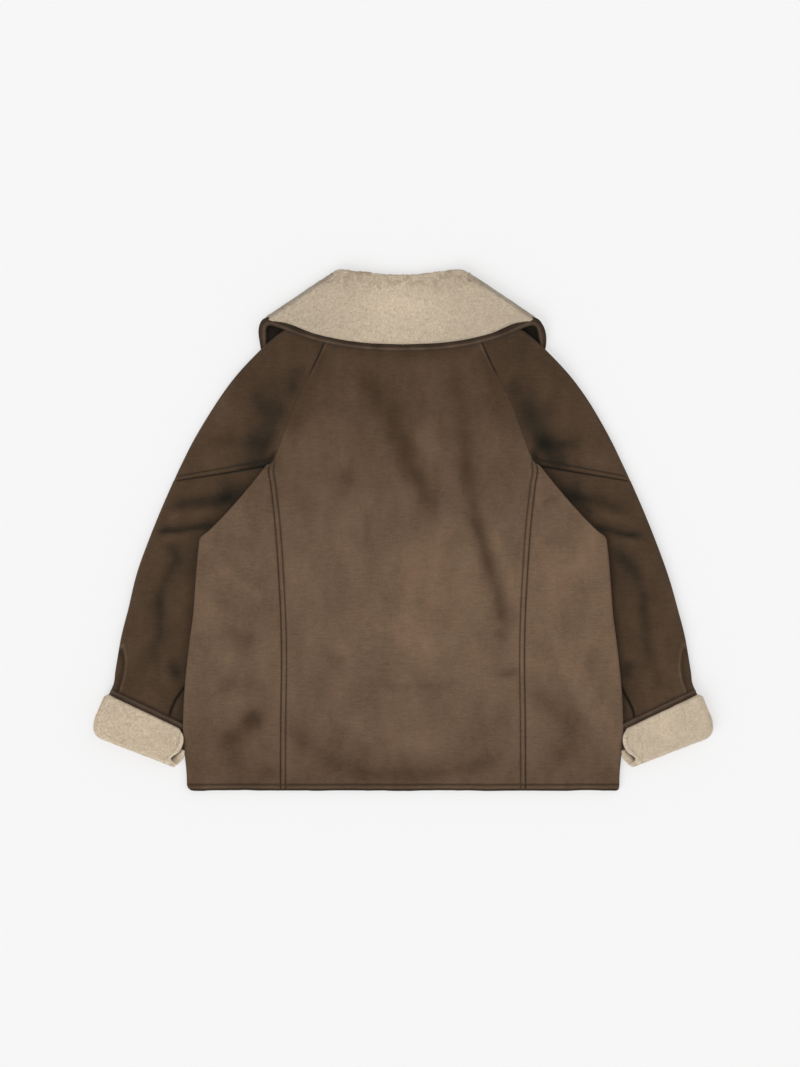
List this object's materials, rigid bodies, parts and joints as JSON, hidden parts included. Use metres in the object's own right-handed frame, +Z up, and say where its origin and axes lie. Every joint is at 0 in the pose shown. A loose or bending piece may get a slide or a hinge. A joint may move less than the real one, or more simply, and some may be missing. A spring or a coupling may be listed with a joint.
{
  "type": "suede jacket",
  "caption": "Cropped suede jacket with a wide pile collar and turned-back pile cuffs, laid flat on its front with its back upward.",
  "frame": {"origin": "on the surface the jacket lies on, under the middle of its outline", "axes": "+X to the right as seen from above with the collar away from the viewer, +Y from the hem to the collar, +Z up from the surface, out of the back of the jacket"},
  "size_m": [0.8, 0.6751, 0.0239],
  "materials": {
    "suede": "matt brushed suede, soft mottled nap",
    "suede_binding": "the same suede cut as a narrow strip, darker where it is pressed",
    "pile": "short dense pile, soft and slightly curly"
  },
  "bodies": {
    "root": {"back_center": "suede", "back_side_L": "suede", "back_side_R": "suede", "front_L": "suede", "front_R": "suede", "sleeve_upper_L": "suede", "sleeve_upper_R": "suede", "sleeve_lower_L": "suede", "sleeve_lower_R": "suede", "cuff_L": "pile", "cuff_R": "pile", "cuff_binding_L": "suede_binding", "cuff_binding_R": "suede_binding", "collar": "pile", "collar_binding": "suede_binding"}
  },
  "joints": []
}
